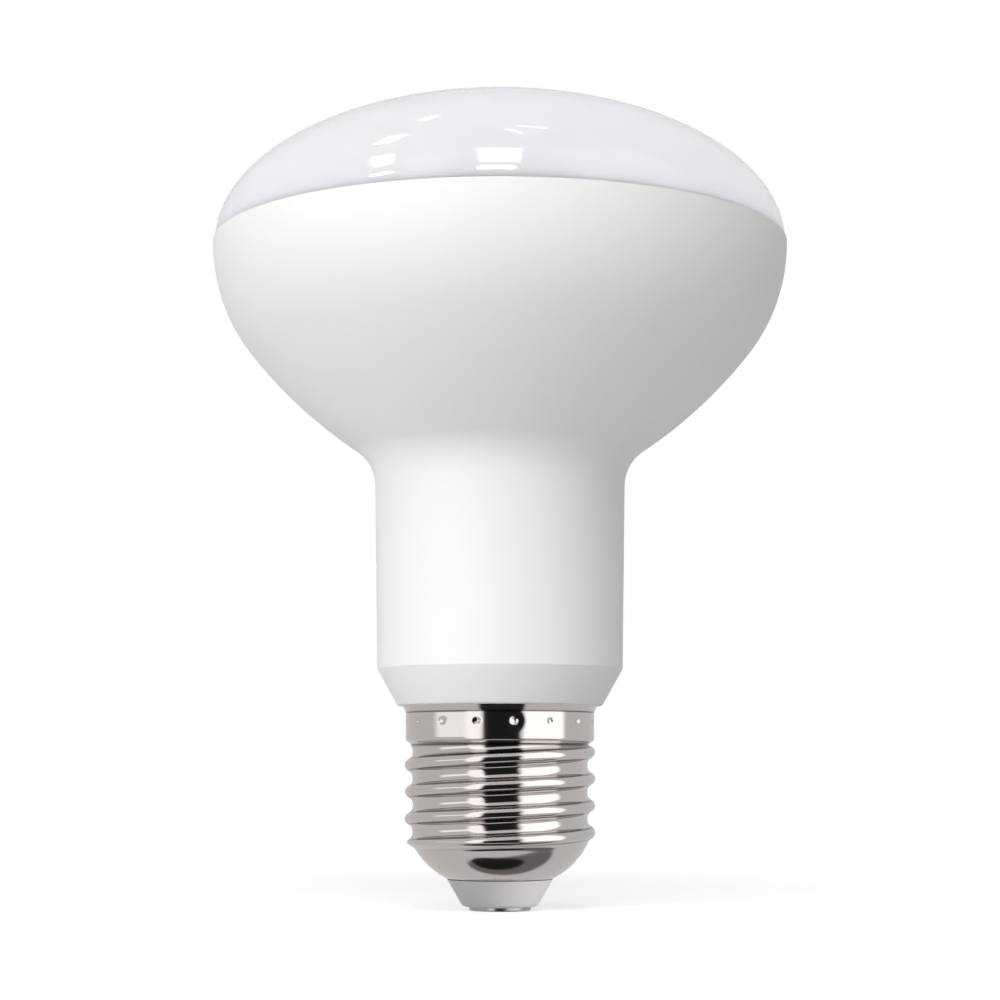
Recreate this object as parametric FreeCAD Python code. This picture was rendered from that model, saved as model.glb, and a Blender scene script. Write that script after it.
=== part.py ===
"""Reflector bulb with a 27 mm Edison screw cap.

The lamp stands upright on Z. The underside of the centre contact lies in z = 0,
the cap is below and the diffuser is on top. Sizes are in millimetres.
Every piece is turned about Z from a half section of (radius, height) corners,
and the thread is a ridge swept along a right-hand helix.
"""
import FreeCAD, Part
import math
import os

# Diffuser
DOME_RISE = 20.05           # from the housing's rim to the top of the dome
DOME_STEP = 0.25            # how far the dome stands inside the rim
RIM_LEDGE = 3.5             # width of the rim that the dome's edge rests on
SKIRT_DEPTH = 3.2           # plug of the diffuser in the housing's mouth
SKIRT_GAP = 0.15            # round the plug
SKIRT_FLOOR_GAP = 0.3       # under the plug

# Bowl, as three arcs that run into each other
RIM_RADIUS = 40.0
RIM_HEIGHT = 91.65
RIM_ARC = 24.1              # radius of the arc below the rim, upright at the rim
RIM_ARC_TURN = 38.5         # degrees
BELLY_ARC = 65.2            # radius of the long arc down to the neck
NECK_FILLET = 6.46

# Neck and spigot
NECK_TOP_RADIUS = 17.275
NECK_FOOT_RADIUS = 16.85
NECK_FOOT = 32.7
NECK_EDGE_FILLET = 0.4
CONE_FOOT_RADIUS = 14.0
CONE_EDGE = 0.45
HOUSING_FOOT = 27.6
SPIGOT_LENGTH = 9.5         # part of the housing that enters the cap
SPIGOT_GAP = 0.08

# Collar and lip of the screw cap
SHELL_WALL = 0.35
COLLAR_RADIUS = 12.9
COLLAR_FOOT = 22.3
SHOULDER_RISE = 0.6         # slanted step between the thread and the collar
LIP_HEIGHT = 0.9
LIP_FLARE = 0.45
LIP_BEND = 0.6              # share of the lip's height where it opens half its flare

# Thread
PITCH = 3.629               # seven threads to the inch
CREST_RADIUS = 13.03
THREAD_DEPTH = 1.1
THREAD_TOP = 21.37          # height of the top crest at +X
THREAD_TURNS = 3.85
RUN_IN_TURNS = 0.75         # what the thread goes on past +X, into the shoulder
THREAD_FADE = 9.6           # height below which the crest runs out
FADE_MARGIN = 0.3           # how far the run-outs are cut past the crest

# Rounded bottom of the cap
TAPER_TOP = 8.95
TAPER_BULGE = 0.58          # how far the bottom stands out of a straight taper
CAP_FLOOR = 4.15
FLOOR_RADIUS = 7.0
FLOOR_RING = 0.3            # flat ring between the taper and the hole

# Crimp dimples
DIMPLE_COUNT = 16
DIMPLE_WIDTH = 1.0
DIMPLE_DEPTH = 0.25
DIMPLE_BELOW_LIP = 1.3
DIMPLE_TURN = 8.8           # from -Y towards +X, in degrees

# Insulator
INSULATOR_TOP_RADIUS = 7.2
INSULATOR_FOOT_RADIUS = 5.1
INSULATOR_EDGE = 0.9
INSULATOR_GAP = 0.05
INSULATOR_CLIP = 0.9        # reach of the inner flange past the cap's hole
INSULATOR_CLIP_HEIGHT = 1.6

# Centre contact
CONTACT_RADIUS = 4.2
CONTACT_THICKNESS = 0.5
CONTACT_EDGE = 0.2
RIVET_RADIUS = 1.5
RIVET_HEAD_RADIUS = 2.4
RIVET_HEAD_HEIGHT = 0.6
RIVET_GAP = 0.05

# What follows from the sizes above
DOME_RADIUS = RIM_RADIUS - DOME_STEP
SKIRT_RADIUS = RIM_RADIUS - RIM_LEDGE
ROOT_RADIUS = CREST_RADIUS - THREAD_DEPTH
BORE_RADIUS = ROOT_RADIUS - SHELL_WALL
COLLAR_BORE_RADIUS = COLLAR_RADIUS - SHELL_WALL
COLLAR_START = COLLAR_FOOT + SHOULDER_RISE
LIP_START = HOUSING_FOOT - LIP_HEIGHT
HOLE_RADIUS = FLOOR_RADIUS - FLOOR_RING
CLIP_FOOT = CAP_FLOOR + SHELL_WALL + INSULATOR_GAP
CLIP_TOP = CLIP_FOOT + INSULATOR_CLIP_HEIGHT

AXIS = FreeCAD.Vector(0, 0, 1)
CENTRE = FreeCAD.Vector(0, 0, 0)
ROUND_HANDLE = 0.5523       # length of a quarter ellipse's handles, as a share of its half axes


def at(radius, height):
    """Point of the half section in the XZ plane."""
    return FreeCAD.Vector(radius, 0, height)


def towards(start, length, angle):
    """Point of the half section at a distance and an angle up from the outward direction."""
    return start + at(length * math.cos(angle), length * math.sin(angle))


def straight(start, end):
    return Part.LineSegment(start, end).toShape()


def arc(centre, radius, first, last):
    """Arc of the half section between two angles."""
    middle = towards(centre, radius, (first + last) / 2)
    return Part.Arc(towards(centre, radius, first), middle, towards(centre, radius, last)).toShape()


def bulged(start, end, bulge):
    """Arc from start to end that stands out by bulge, to the right of the way it goes."""
    way = end - start
    way.normalize()
    aside = at(way.z, -way.x)
    return Part.Arc(start, (start + end) / 2 + aside * bulge, end).toShape()


def path(corners):
    """Lines through (radius, height) corners, rounded where a corner gives a fillet too."""
    edges = []
    last = at(*corners[0][:2])
    for before, corner, after in zip(corners, corners[1:], corners[2:]):
        tip = at(*corner[:2])
        if len(corner) == 3:
            back = at(*before[:2]) - tip
            ahead = at(*after[:2]) - tip
            half_angle = back.getAngle(ahead) / 2
            back.normalize()
            ahead.normalize()
            inward = back + ahead
            inward.normalize()
            reach = corner[2] / math.tan(half_angle)
            first = tip + back * reach
            second = tip + ahead * reach
            middle = tip + inward * corner[2] * (1 / math.sin(half_angle) - 1)
            edges.append(straight(last, first))
            edges.append(Part.Arc(first, middle, second).toShape())
            last = second
        else:
            edges.append(straight(last, tip))
            last = tip
    edges.append(straight(last, at(*corners[-1][:2])))
    return edges


def turned(edges):
    """Solid of revolution about Z from the edges of a closed half section."""
    section = Part.Face(Part.Wire(Part.__sortEdges__(edges)))
    return section.revolve(CENTRE, AXIS, 360)


def diffuser():
    """Opal dome, half an ellipse high and low, with a plug that drops into the housing's mouth."""
    plug_foot = RIM_HEIGHT - SKIRT_DEPTH
    top = at(0, RIM_HEIGHT + DOME_RISE)
    plug = path([
        (0, plug_foot),
        (SKIRT_RADIUS, plug_foot),
        (SKIRT_RADIUS, RIM_HEIGHT),
        (DOME_RADIUS, RIM_HEIGHT),
    ])
    dome = Part.BezierCurve()
    dome.setPoles([
        at(DOME_RADIUS, RIM_HEIGHT),
        at(DOME_RADIUS, RIM_HEIGHT + ROUND_HANDLE * DOME_RISE),
        at(ROUND_HANDLE * DOME_RADIUS, RIM_HEIGHT + DOME_RISE),
        top,
    ])
    return turned(plug + [dome.toShape(), straight(top, at(0, plug_foot))])


def bowl_arcs():
    """The bowl's outside from the neck up to the rim, and the height where the neck ends."""
    turn = math.radians(RIM_ARC_TURN)
    rim_centre = at(RIM_RADIUS - RIM_ARC, RIM_HEIGHT)
    belly_centre = towards(rim_centre, RIM_ARC - BELLY_ARC, -turn)
    aside = NECK_TOP_RADIUS + NECK_FILLET - belly_centre.x
    span = BELLY_ARC + NECK_FILLET
    neck_top = belly_centre.z - math.sqrt(span ** 2 - aside ** 2)
    foot_angle = math.atan2(neck_top - belly_centre.z, aside)
    fillet_centre = at(NECK_TOP_RADIUS + NECK_FILLET, neck_top)
    fillet = arc(fillet_centre, NECK_FILLET, math.pi, math.pi + foot_angle)
    belly = arc(belly_centre, BELLY_ARC, foot_angle, -turn)
    rim = arc(rim_centre, RIM_ARC, -turn, 0)
    return [fillet, belly, rim], neck_top


def housing():
    """Moulded neck and bowl in one, with the spigot that carries the cap."""
    bowl, neck_top = bowl_arcs()
    spigot_radius = BORE_RADIUS - SPIGOT_GAP
    seat_radius = COLLAR_BORE_RADIUS - SPIGOT_GAP
    spigot_end = HOUSING_FOOT - SPIGOT_LENGTH
    below = path([
        (0, spigot_end),
        (spigot_radius, spigot_end),
        (spigot_radius, COLLAR_FOOT + SHELL_WALL),
        (seat_radius, COLLAR_START + SHELL_WALL),
        (seat_radius, HOUSING_FOOT),
        (CONE_FOOT_RADIUS - CONE_EDGE, HOUSING_FOOT),
        (CONE_FOOT_RADIUS, HOUSING_FOOT + CONE_EDGE),
        (NECK_FOOT_RADIUS, NECK_FOOT, NECK_EDGE_FILLET),
        (NECK_TOP_RADIUS, neck_top),
    ])
    mouth_radius = SKIRT_RADIUS + SKIRT_GAP
    mouth_floor = RIM_HEIGHT - SKIRT_DEPTH - SKIRT_FLOOR_GAP
    mouth = path([
        (RIM_RADIUS, RIM_HEIGHT),
        (mouth_radius, RIM_HEIGHT),
        (mouth_radius, mouth_floor),
        (0, mouth_floor),
    ])
    return turned(below + bowl + mouth + [straight(at(0, mouth_floor), at(0, spigot_end))])


def thread_ridge():
    """Ridge of the thread: a knuckle section swept up a helix that climbs to the right."""
    crest_half = PITCH / 12
    flank_half = PITCH / 4
    foot_half = PITCH * 5 / 12
    flank_radius = CREST_RADIUS - THREAD_DEPTH / 2
    sink = SHELL_WALL / 2
    sunk_half = foot_half + sink * (foot_half - flank_half) / (CREST_RADIUS - flank_radius)
    knuckle = [
        at(ROOT_RADIUS - sink, -sunk_half),
        at(flank_radius, -flank_half),
        at(CREST_RADIUS, -crest_half),
        at(CREST_RADIUS, crest_half),
        at(flank_radius, flank_half),
        at(ROOT_RADIUS - sink, sunk_half),
    ]
    section = Part.makePolygon(knuckle + knuckle[:1])
    helix = Part.makeHelix(PITCH, PITCH * (THREAD_TURNS + RUN_IN_TURNS), ROOT_RADIUS)
    ridge = Part.Wire(helix.Edges).makePipeShell([section], True, True)
    ridge.translate(AXIS * (THREAD_TOP - THREAD_TURNS * PITCH))
    ridge.rotate(CENTRE, AXIS, -360 * THREAD_TURNS)
    return ridge


def thread_room():
    """Space that the ridge may fill: it fades at the cap's foot and under the shoulder."""
    outer = CREST_RADIUS + FADE_MARGIN
    collar_middle = COLLAR_RADIUS - SHELL_WALL / 2
    corners = [
        (BORE_RADIUS, THREAD_FADE - CREST_RADIUS + BORE_RADIUS),
        (outer, THREAD_FADE + FADE_MARGIN),
        (outer, COLLAR_FOOT - FADE_MARGIN / 3),
        (collar_middle, COLLAR_START + FADE_MARGIN / 6),
        (BORE_RADIUS, COLLAR_FOOT + FADE_MARGIN / 6),
    ]
    return turned(path(corners + corners[:1]))


def dimples():
    """Cones of the crimp punch, set round the collar."""
    height = LIP_START - DIMPLE_BELOW_LIP
    tip = DIMPLE_WIDTH / 8
    base = DIMPLE_WIDTH - tip
    cones = []
    for number in range(DIMPLE_COUNT):
        turn = math.radians(DIMPLE_TURN - 90 + number * 360 / DIMPLE_COUNT)
        outwards = FreeCAD.Vector(math.cos(turn), math.sin(turn), 0)
        floor = outwards * (COLLAR_RADIUS - DIMPLE_DEPTH) + AXIS * height
        cones.append(Part.makeCone(tip, base, 2 * DIMPLE_DEPTH, floor, outwards))
    return cones


def screw_shell():
    """Drawn cap: rolled thread, collar with its dimples, flared lip and rounded bottom."""
    bend_height = LIP_START + LIP_HEIGHT * LIP_BEND
    inner_bend = at(BORE_RADIUS + HOLE_RADIUS, TAPER_TOP + CAP_FLOOR + SHELL_WALL) / 2
    inner_bend = inner_bend + at(TAPER_BULGE, -TAPER_BULGE) * math.sqrt(0.5)
    side = path([
        (ROOT_RADIUS, TAPER_TOP),
        (ROOT_RADIUS, COLLAR_FOOT),
        (COLLAR_RADIUS, COLLAR_START),
        (COLLAR_RADIUS, LIP_START),
        (COLLAR_RADIUS + LIP_FLARE / 2, bend_height),
        (COLLAR_RADIUS + LIP_FLARE, HOUSING_FOOT),
        (COLLAR_BORE_RADIUS + LIP_FLARE, HOUSING_FOOT),
        (COLLAR_BORE_RADIUS, LIP_START),
        (COLLAR_BORE_RADIUS, COLLAR_START + SHELL_WALL / 2),
        (BORE_RADIUS, COLLAR_FOOT + SHELL_WALL / 2),
        (BORE_RADIUS, TAPER_TOP + SHELL_WALL / 2),
        (inner_bend.x, inner_bend.z),
        (HOLE_RADIUS, CAP_FLOOR + SHELL_WALL),
    ])
    hole = path([
        (HOLE_RADIUS, CAP_FLOOR + SHELL_WALL),
        (HOLE_RADIUS, CAP_FLOOR),
        (FLOOR_RADIUS, CAP_FLOOR),
    ])
    outside = bulged(at(FLOOR_RADIUS, CAP_FLOOR), at(ROOT_RADIUS, TAPER_TOP), TAPER_BULGE)
    plain = turned(side + hole + [outside])
    rolled = plain.fuse(thread_ridge().common(thread_room()))
    return rolled.cut(Part.makeCompound(dimples()))


def insulator():
    """Tapered plug that clips into the hole of the cap and carries the contact."""
    neck_radius = HOLE_RADIUS - INSULATOR_GAP
    bore = RIVET_RADIUS + RIVET_GAP
    corners = [
        (bore, CONTACT_THICKNESS),
        (INSULATOR_FOOT_RADIUS, CONTACT_THICKNESS, INSULATOR_EDGE),
        (INSULATOR_TOP_RADIUS, CAP_FLOOR),
        (neck_radius, CAP_FLOOR),
        (neck_radius, CLIP_FOOT),
        (neck_radius + INSULATOR_CLIP, CLIP_FOOT + INSULATOR_CLIP),
        (neck_radius, CLIP_TOP),
        (bore, CLIP_TOP),
    ]
    return turned(path(corners + corners[:1]))


def centre_contact():
    """Turned contact button, riveted through the insulator."""
    head_top = CLIP_TOP + RIVET_HEAD_HEIGHT
    corners = [
        (0, 0),
        (CONTACT_RADIUS - CONTACT_EDGE, 0),
        (CONTACT_RADIUS, CONTACT_EDGE),
        (CONTACT_RADIUS, CONTACT_THICKNESS),
        (RIVET_RADIUS, CONTACT_THICKNESS),
        (RIVET_RADIUS, CLIP_TOP),
        (RIVET_HEAD_RADIUS, CLIP_TOP),
        (RIVET_HEAD_RADIUS, head_top),
        (0, head_top),
    ]
    return turned(path(corners + corners[:1]))


def main():
    os.makedirs("parts", exist_ok=True)
    pieces = {
        "diffuser": diffuser(),
        "housing": housing(),
        "screw_shell": screw_shell(),
        "insulator": insulator(),
        "centre_contact": centre_contact(),
    }
    for name, shape in pieces.items():
        shape.exportStep("parts/" + name + ".step")


main()
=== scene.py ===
"""Reflector bulb with an Edison screw cap: surfaces, materials, light and camera.

Each piece is turned about Z from an outline of (radius, height) points. A
geometry node tree then rolls the thread and presses the crimps into the cap.
Sizes are in metres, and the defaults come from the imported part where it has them.
"""
import math

import bpy
from bpy.props import FloatProperty, FloatVectorProperty, IntProperty, PointerProperty
from mathutils import Euler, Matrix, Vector


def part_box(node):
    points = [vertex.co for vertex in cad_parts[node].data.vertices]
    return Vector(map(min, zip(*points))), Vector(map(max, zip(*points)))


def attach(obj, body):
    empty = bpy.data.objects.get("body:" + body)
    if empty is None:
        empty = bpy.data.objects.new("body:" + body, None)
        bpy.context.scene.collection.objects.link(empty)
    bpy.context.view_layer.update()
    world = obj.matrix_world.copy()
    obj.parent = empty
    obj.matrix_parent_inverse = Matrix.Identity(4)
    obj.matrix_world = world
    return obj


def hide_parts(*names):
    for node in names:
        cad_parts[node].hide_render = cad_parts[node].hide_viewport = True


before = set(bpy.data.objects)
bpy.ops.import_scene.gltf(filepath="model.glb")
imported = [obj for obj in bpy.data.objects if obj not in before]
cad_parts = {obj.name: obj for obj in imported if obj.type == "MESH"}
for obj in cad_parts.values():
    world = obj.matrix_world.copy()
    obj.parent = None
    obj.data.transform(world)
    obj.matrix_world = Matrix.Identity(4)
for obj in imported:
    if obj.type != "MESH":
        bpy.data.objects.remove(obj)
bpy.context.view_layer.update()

bl_info = {
    "name": "Reflector bulb",
    "version": (1, 0, 0),
    "blender": (4, 5, 0),
    "location": "View3D > Sidebar > Bulb",
    "description": "Builds the looks, the light and the camera of a reflector bulb",
    "category": "Object",
}

MM = 0.001
DEGREE = math.pi / 180

# Mesh attributes that the cap's tree reads and writes
OUTER_SKIN = "outer_skin"
# The second holds painted shade for the cap's creases
CREASE_SHADE = "crease"

# Mesh columns round each piece
LARGE_COLUMNS = 256
INSULATOR_COLUMNS = 160
CONTACT_COLUMNS = 128

# Angle past which an edge stays sharp, and radius under which a point is on the axis
SHARP_EDGE = 38 * DEGREE
ON_AXIS = 0.0001 * MM

COLLAR_RADIUS = 12.9 * MM

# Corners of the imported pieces
DOME_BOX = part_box("diffuser")
HOUSING_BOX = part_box("housing")
SHELL_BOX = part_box("screw_shell")
INSULATOR_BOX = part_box("insulator")


def length(name, text, default):
    """Property for a size in metres."""
    return FloatProperty(name=name, description=text, default=default, unit="LENGTH", precision=5)


def turn(name, text, degrees):
    """Property for an angle."""
    default = degrees * DEGREE
    return FloatProperty(name=name, description=text, default=default, subtype="ANGLE", unit="ROTATION")


def share(name, text, default):
    """Property for a plain number."""
    return FloatProperty(name=name, description=text, default=default, precision=3)


def colour(name, text, default):
    """Property for a colour."""
    return FloatVectorProperty(
        name=name, description=text, default=default, subtype="COLOR", min=0, max=1,
    )


class HousingSizes(bpy.types.PropertyGroup):
    """Sizes of the moulded bowl and neck."""

    rim_radius: length("Rim radius", "Widest part of the lamp", HOUSING_BOX[1][0])
    rim_height: length("Rim height", "Height of the rim over the contact", HOUSING_BOX[1][2])
    rim_arc: length("Rim arc", "Radius of the arc below the rim", 24.1 * MM)
    rim_arc_turn: turn("Rim arc turn", "Angle that the rim arc turns through", 38.5)
    belly_arc: length("Belly arc", "Radius of the long arc down to the neck", 65.2 * MM)
    neck_fillet: length("Neck fillet", "Radius between the bowl and the neck", 6.46 * MM)
    neck_top_radius: length("Neck top radius", "Neck under the fillet", 17.275 * MM)
    neck_foot_radius: length("Neck foot radius", "Neck at its lower edge", 16.85 * MM)
    neck_foot: length("Neck foot", "Height of the neck's lower edge", 32.7 * MM)
    neck_edge: length("Neck edge", "Rounding of the neck's lower edge", 0.4 * MM)
    cone_foot_radius: length("Cone foot radius", "Housing where it meets the cap", 14.0 * MM)
    cone_edge: length("Cone edge", "Rounding of the housing's lower edge", 0.6 * MM)
    foot: length("Foot", "Height of the housing's lower face", SHELL_BOX[1][2])
    ledge: length("Ledge", "Width of the rim outside the diffuser's plug", 3.35 * MM)
    mouth_depth: length("Mouth depth", "Depth of the recess for the diffuser", 3.5 * MM)
    spigot_radius: length("Spigot radius", "Part that enters the thread", 11.5 * MM)
    seat_radius: length("Seat radius", "Part that fills the collar", 12.47 * MM)
    seat_foot: length("Seat foot", "Height where the spigot widens", 22.65 * MM)
    seat_rise: length("Seat rise", "Height of the spigot's slanted step", 0.6 * MM)


class DiffuserSizes(bpy.types.PropertyGroup):
    """Sizes of the opal dome."""

    radius: length("Radius", "Edge of the dome", DOME_BOX[1][0])
    top: length("Top", "Height of the dome's top", DOME_BOX[1][2])
    plug_radius: length("Plug radius", "Plug in the housing's mouth", 36.5 * MM)
    plug_foot: length("Plug foot", "Height of the plug's underside", DOME_BOX[0][2])
    wall: length("Wall", "Thickness of the moulding", 2.0 * MM)


class CapSizes(bpy.types.PropertyGroup):
    """Sizes of the screw shell, its thread and its crimps."""

    wall: length("Wall", "Thickness of the shell", 0.35 * MM)
    crest_radius: length("Crest radius", "Outside of the thread", 13.03 * MM)
    depth: length("Depth", "Depth of the thread", 1.1 * MM)
    pitch: length("Pitch", "Rise of the thread in one turn", 3.629 * MM)
    crest_share: share("Crest share", "Part of the pitch that the rounded crest takes", 0.42)
    top_crest: length("Top crest", "Height of the top crest at +X", 21.37 * MM)
    collar_radius: length("Collar radius", "Plain collar over the thread", COLLAR_RADIUS)
    collar_foot: length("Collar foot", "Height where the shoulder starts", 22.3 * MM)
    shoulder_rise: length("Shoulder rise", "Height of the shoulder", 0.6 * MM)
    shoulder_bend: length("Shoulder bend", "Rounding at the shoulder's top", 0.5 * MM)
    lip_height: length("Lip height", "Height of the flared lip", 0.9 * MM)
    lip_flare: length("Lip flare", "How far the lip opens", SHELL_BOX[1][0] - COLLAR_RADIUS)
    taper_top: length("Taper top", "Height where the rounded bottom starts", 8.95 * MM)
    taper_bulge: length("Taper bulge", "How far the bottom stands out of a straight taper", 0.58 * MM)
    floor: length("Floor", "Height of the shell's lowest face", SHELL_BOX[0][2])
    floor_radius: length("Floor radius", "Where the taper meets the floor", 7.0 * MM)
    hole_radius: length("Hole radius", "Hole for the insulator", 6.7 * MM)
    fade_foot: length("Fade foot", "Height where the thread dies out below", 8.0 * MM)
    fade_foot_rise: length("Fade foot rise", "Height of that run-out", 1.6 * MM)
    fade_top: length("Fade top", "Height where the thread dies out above", 22.9 * MM)
    fade_top_fall: length("Fade top fall", "Height of that run-out", 1.0 * MM)
    blend: length("Blend", "Softness where the thread meets the shoulder", 0.22 * MM)
    # Painted shade: width of the dark line painted into the cap's creases
    crease_width: length("Crease width", "Half the width of the dark line in a crease", 0.17 * MM)
    row: length("Row", "Spacing of the mesh rows along the thread", 0.105 * MM)
    segments: IntProperty(name="Segments", description="Mesh columns round the cap", default=400, min=48)
    dimples: IntProperty(name="Dimples", description="Number of crimp dimples", default=16, min=1)
    dimple_height: length("Dimple height", "Height of the dimples", 25.4 * MM)
    dimple_radius: length("Dimple radius", "Half the width of a dimple", 0.62 * MM)
    dimple_depth: length("Dimple depth", "Depth of a dimple", 0.25 * MM)
    dimple_turn: turn("Dimple turn", "Turn of the first dimple from +X", -81.2)
    dent_radius: length("Dent radius", "Soft dent round the first dimple", 1.7 * MM)
    dent_depth: length("Dent depth", "Depth of that dent", 0.09 * MM)


class FootSizes(bpy.types.PropertyGroup):
    """Sizes of the insulator and the centre contact."""

    insulator_top_radius: length("Insulator top radius", "Insulator under the shell", 7.2 * MM)
    insulator_foot_radius: length("Insulator foot radius", "Insulator at the contact", 5.1 * MM)
    insulator_edge: length("Insulator edge", "Rounding of the insulator's foot", 0.9 * MM)
    insulator_neck: length("Insulator neck", "Insulator in the shell's hole", 6.65 * MM)
    insulator_clip: length("Insulator clip", "Reach of the inner flange", 0.9 * MM)
    clip_foot: length("Clip foot", "Height of the flange's underside", 4.55 * MM)
    clip_top: length("Clip top", "Height of the insulator's top", INSULATOR_BOX[1][2])
    bore: length("Bore", "Hole for the rivet", 1.55 * MM)
    contact_radius: length("Contact radius", "Outside of the contact", 4.2 * MM)
    contact_height: length("Contact height", "Thickness of the contact", INSULATOR_BOX[0][2])
    contact_edge: length("Contact edge", "Rounding of the contact's rim", 0.2 * MM)
    rivet_radius: length("Rivet radius", "Shank of the rivet", 1.5 * MM)
    head_radius: length("Head radius", "Head of the rivet", 2.4 * MM)
    head_height: length("Head height", "Height of the rivet's head", 0.6 * MM)


class Finishes(bpy.types.PropertyGroup):
    """Colours of the materials."""

    diffuser: colour("Diffuser", "Opal plastic", (0.835, 0.85, 0.905))
    housing: colour("Housing", "White moulding", (0.83, 0.83, 0.825))
    nickel: colour("Nickel", "Plating of the cap", (0.66, 0.62, 0.60))
    insulator: colour("Insulator", "Pale insulator", (0.62, 0.61, 0.625))
    contact: colour("Contact", "Plating of the contact", (0.42, 0.40, 0.38))
    floor: colour("Floor", "Pale ground", (0.74, 0.74, 0.74))


class Studio(bpy.types.PropertyGroup):
    """Camera and light."""

    camera_distance: length("Camera distance", "From the lamp's axis", 318.4 * MM)
    camera_height: length("Camera height", "Above the contact", 19.37 * MM)
    camera_tilt: turn("Camera tilt", "Upwards from level", 6.579)
    lens: share("Lens", "Focal length in millimetres on a 36 mm sensor", 83.21)
    sky: share("Sky", "Strength of the even light all round", 0.12)
    light: share("Light", "Share of the softboxes' light that is used", 1.0)
    window: share("Window", "Radiance of the small softboxes over the camera", 6.4)
    walls: share("Walls", "How bright plated metal sees the studio's walls", 0.66)
    left_panel: share("Left panel", "How bright plated metal sees the strip of light on the left", 1.3)
    right_panel: share("Right panel", "How bright plated metal sees the large light on the right", 1.6)
    dark: share("Dark", "How bright plated metal sees the dark cloth behind and below the camera", 0.015)
    dim: share("Dim", "How bright plated metal sees the ground round that cloth", 0.16)
    strip: share("Strip", "How bright plated metal sees the narrow light beside that cloth", 1.45)
    floor_lift: share("Floor lift", "Light that the camera alone sees on the floor by the lamp", 0.55)


# Outlines


def arc(centre, radius, first, last, steps=16):
    """Points of an arc from one angle to another, both in radians."""
    angles = [first + (last - first) * step / steps for step in range(steps + 1)]
    return [(centre[0] + radius * math.cos(a), centre[1] + radius * math.sin(a)) for a in angles]


def bulged(start, end, bulge, steps=16):
    """Points of an arc that stands out by bulge, to the right of the way it goes."""
    chord = math.dist(start, end)
    radius = (chord * chord / 4 + bulge * bulge) / (2 * bulge)
    way = ((end[0] - start[0]) / chord, (end[1] - start[1]) / chord)
    inward = radius - bulge
    centre = (
        (start[0] + end[0]) / 2 - way[1] * inward,
        (start[1] + end[1]) / 2 + way[0] * inward,
    )
    first = math.atan2(start[1] - centre[1], start[0] - centre[0])
    last = math.atan2(end[1] - centre[1], end[0] - centre[0])
    return arc(centre, abs(radius), first, last, steps)


def rounded(before, corner, after, radius, steps=5):
    """Points that round one corner of an outline."""
    tip = Vector(corner)
    back = (Vector(before) - tip).normalized()
    ahead = (Vector(after) - tip).normalized()
    half_angle = back.angle(ahead) / 2
    centre = tip + (back + ahead).normalized() * (radius / math.sin(half_angle))
    reach = radius / math.tan(half_angle)
    first = tip + back * reach - centre
    last = tip + ahead * reach - centre
    start = math.atan2(first.y, first.x)
    sweep = first.angle_signed(last)
    return arc(centre, radius, start, start - sweep, steps)


def climb(radius, low, high, spacing):
    """Evenly spaced points up a cylinder, without its two ends."""
    count = max(2, round((high - low) / spacing))
    return [(radius, low + (high - low) * step / count) for step in range(1, count)]


# Meshes


def lathe(name, outline, segments, closed=False):
    """Mesh turned about Z from an outline whose material lies on the left of its way."""
    vertices = []
    rings = []
    for radius, height in outline:
        if radius < ON_AXIS:
            rings.append([len(vertices)])
            vertices.append((0, 0, height))
            continue
        rings.append(list(range(len(vertices), len(vertices) + segments)))
        for column in range(segments):
            angle = 2 * math.pi * column / segments
            vertices.append((radius * math.cos(angle), radius * math.sin(angle), height))
    faces = []
    followers = rings[1:] + rings[:1] if closed else rings[1:]
    for lower, upper in zip(rings, followers):
        for column in range(0 if len(lower) == len(upper) == 1 else segments):
            following = (column + 1) % segments
            if len(lower) == 1:
                faces.append((lower[0], upper[following], upper[column]))
            elif len(upper) == 1:
                faces.append((lower[column], lower[following], upper[0]))
            else:
                faces.append((lower[column], lower[following], upper[following], upper[column]))
    mesh = bpy.data.meshes.new(name)
    mesh.from_pydata(vertices, [], faces)
    return mesh


def place(name, mesh, material, node):
    """Put a mesh in a CAD node's place with its material, and hide that node."""
    mesh.shade_smooth()
    mesh.set_sharp_from_angle(angle=SHARP_EDGE)
    mesh.materials.clear()
    mesh.materials.append(material)
    piece = bpy.data.objects.new(name, mesh)
    bpy.context.scene.collection.objects.link(piece)
    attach(piece, "root")
    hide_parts(node)


# Shader helpers

RELIEF = "Fine relief"


def node_tree_group(name, kind, inputs, outputs):
    """Empty node group with named sockets: (name, type, default) in, (name, type) out."""
    group = bpy.data.node_groups.new(name, kind)
    for label, socket, default in inputs:
        entry = group.interface.new_socket(label, in_out="INPUT", socket_type=socket)
        if default is not None:
            entry.default_value = default
    for label, socket in outputs:
        group.interface.new_socket(label, in_out="OUTPUT", socket_type=socket)
    return group


def relief_group():
    """The shared relief, built once."""
    return bpy.data.node_groups.get(RELIEF) or fine_relief()


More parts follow.
